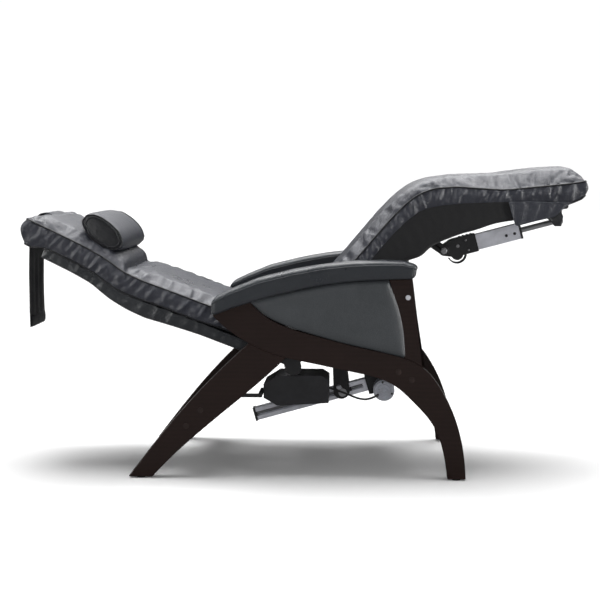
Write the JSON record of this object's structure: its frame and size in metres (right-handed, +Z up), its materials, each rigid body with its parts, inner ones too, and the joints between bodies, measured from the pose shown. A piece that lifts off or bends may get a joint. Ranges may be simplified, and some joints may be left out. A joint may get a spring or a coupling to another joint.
{
  "type": "powered zero gravity recliner",
  "caption": "Powered lounge recliner lying back: bent wood sides, padded leather back, raised seat and leg rest, head pillow with counterweight flap, and linear actuators underneath.",
  "frame": {"origin": "on the floor, under the middle of the reclined chair's box", "axes": "+Z up, +X towards the feet end, +Y towards the sitter's left side"},
  "size_m": [1.82, 0.734, 0.974],
  "materials": {
    "dark_wood": "satin dark brown stain",
    "grey_leather": "soft grained slate grey leather",
    "black_lining": "black non-woven lining",
    "plain_board": "plain plywood",
    "black_steel": "black powder coat",
    "satin_aluminium": "satin anodised extrusion",
    "motor_steel": "zinc plated can",
    "bright_chrome": "polished",
    "plain_steel": "plain steel",
    "black_plastic": "black moulded plastic",
    "cable_rubber": "black sheath",
    "glide_plastic": "black plastic"
  },
  "bodies": {
    "base": {"actuator_rail": "satin_aluminium", "arm_boards": "plain_board", "control_box": "black_plastic", "control_box_bar": "black_steel", "floor_glides": "glide_plastic", "front_cross_rail": "dark_wood", "gearbox_housing": "black_plastic", "lead_screw": "plain_steel", "left_arm_pad": "grey_leather", "left_arm_post": "dark_wood", "left_beam_leg": "dark_wood", "left_rear_leg": "dark_wood", "left_side_panel": "grey_leather", "motor_bracket": "black_steel", "motor_can": "motor_steel", "motor_end_cap": "black_plastic", "motor_lead": "cable_rubber", "pivot_pins": "plain_steel", "pivot_plates": "black_steel", "post_bolts": "bright_chrome", "rail_end_cap": "black_plastic", "rear_cross_rail": "dark_wood", "right_arm_pad": "grey_leather", "right_arm_post": "dark_wood", "right_beam_leg": "dark_wood", "right_rear_leg": "dark_wood", "right_side_panel": "grey_leather", "wood_plugs": "dark_wood"},
    "slider": {"slider_block": "black_plastic", "slider_pins": "plain_steel", "slider_washers": "plain_steel"},
    "seat_frame": {"hinge_plates": "black_steel", "hip_tube": "black_steel", "seat_tubes": "black_steel", "left_seat_rail": "black_steel", "right_seat_rail": "black_steel", "back_rails": "black_steel", "back_top_tube": "black_steel", "drive_arms": "black_steel", "seat_springs": "plain_steel", "back_shell": "grey_leather", "seat_cushion": "grey_leather", "lumbar_cushion": "grey_leather", "head_cushion": "grey_leather", "seat_dust_cover": "black_lining", "actuator_bracket": "black_steel", "knee_pins": "plain_steel", "pillow_strap": "grey_leather"},
    "leg_rest": {"leg_rails": "black_steel", "leg_tube": "black_steel", "leg_cushion": "grey_leather", "leg_skirts": "grey_leather", "leg_dust_cover": "black_lining", "rod_bracket": "black_steel"},
    "leg_actuator": {"leg_actuator_housing": "black_plastic", "leg_actuator_tube": "satin_aluminium", "leg_tube_cap": "black_plastic"},
    "leg_rod": {"leg_actuator_rod": "plain_steel"},
    "pillow": {"head_pillow": "grey_leather"},
    "flap": {"counterweight_flap": "grey_leather"}
  },
  "joints": [
    {"name": "recline", "type": "hinge", "parent": "base", "child": "seat_frame", "pos_m": [-0.058, 0, 0.512], "axis": [0, 1, 0], "range_deg": [0, 40]},
    {"name": "slider_travel", "type": "slide", "parent": "base", "child": "slider", "axis": [0.9636, 0, 0.2672], "range_m": [-0.2375, 0.001]},
    {"name": "leg_lower", "type": "hinge", "parent": "seat_frame", "child": "leg_rest", "pos_m": [0.432, 0, 0.822], "axis": [0, 1, 0], "range_deg": [0, 26]},
    {"name": "barrel_swing", "type": "hinge", "parent": "seat_frame", "child": "leg_actuator", "pos_m": [0.478, 0, 0.705], "axis": [0, 1, 0], "range_deg": [-0.5, 30.5]},
    {"name": "rod_travel", "type": "slide", "parent": "leg_actuator", "child": "leg_rod", "axis": [0.9669, 0, 0.2553], "range_m": [-0.053, 0.001]},
    {"name": "pillow_slide", "type": "slide", "parent": "seat_frame", "child": "pillow", "axis": [0.8759, 0, -0.4826], "range_m": [-0.05, 0.08]},
    {"name": "flap_swing", "type": "hinge", "parent": "seat_frame", "child": "flap", "pos_m": [-0.8925, 0, 0.7185], "axis": [0, 1, 0], "range_deg": [-45, 15]}
  ],
  "couplings": [
    {"joint": "slider_travel", "follows": "recline", "m_per_rad": -0.33835},
    {"joint": "barrel_swing", "follows": "leg_lower", "ratio": 1.1253},
    {"joint": "rod_travel", "follows": "leg_lower", "m_per_rad": -0.11617}
  ]
}
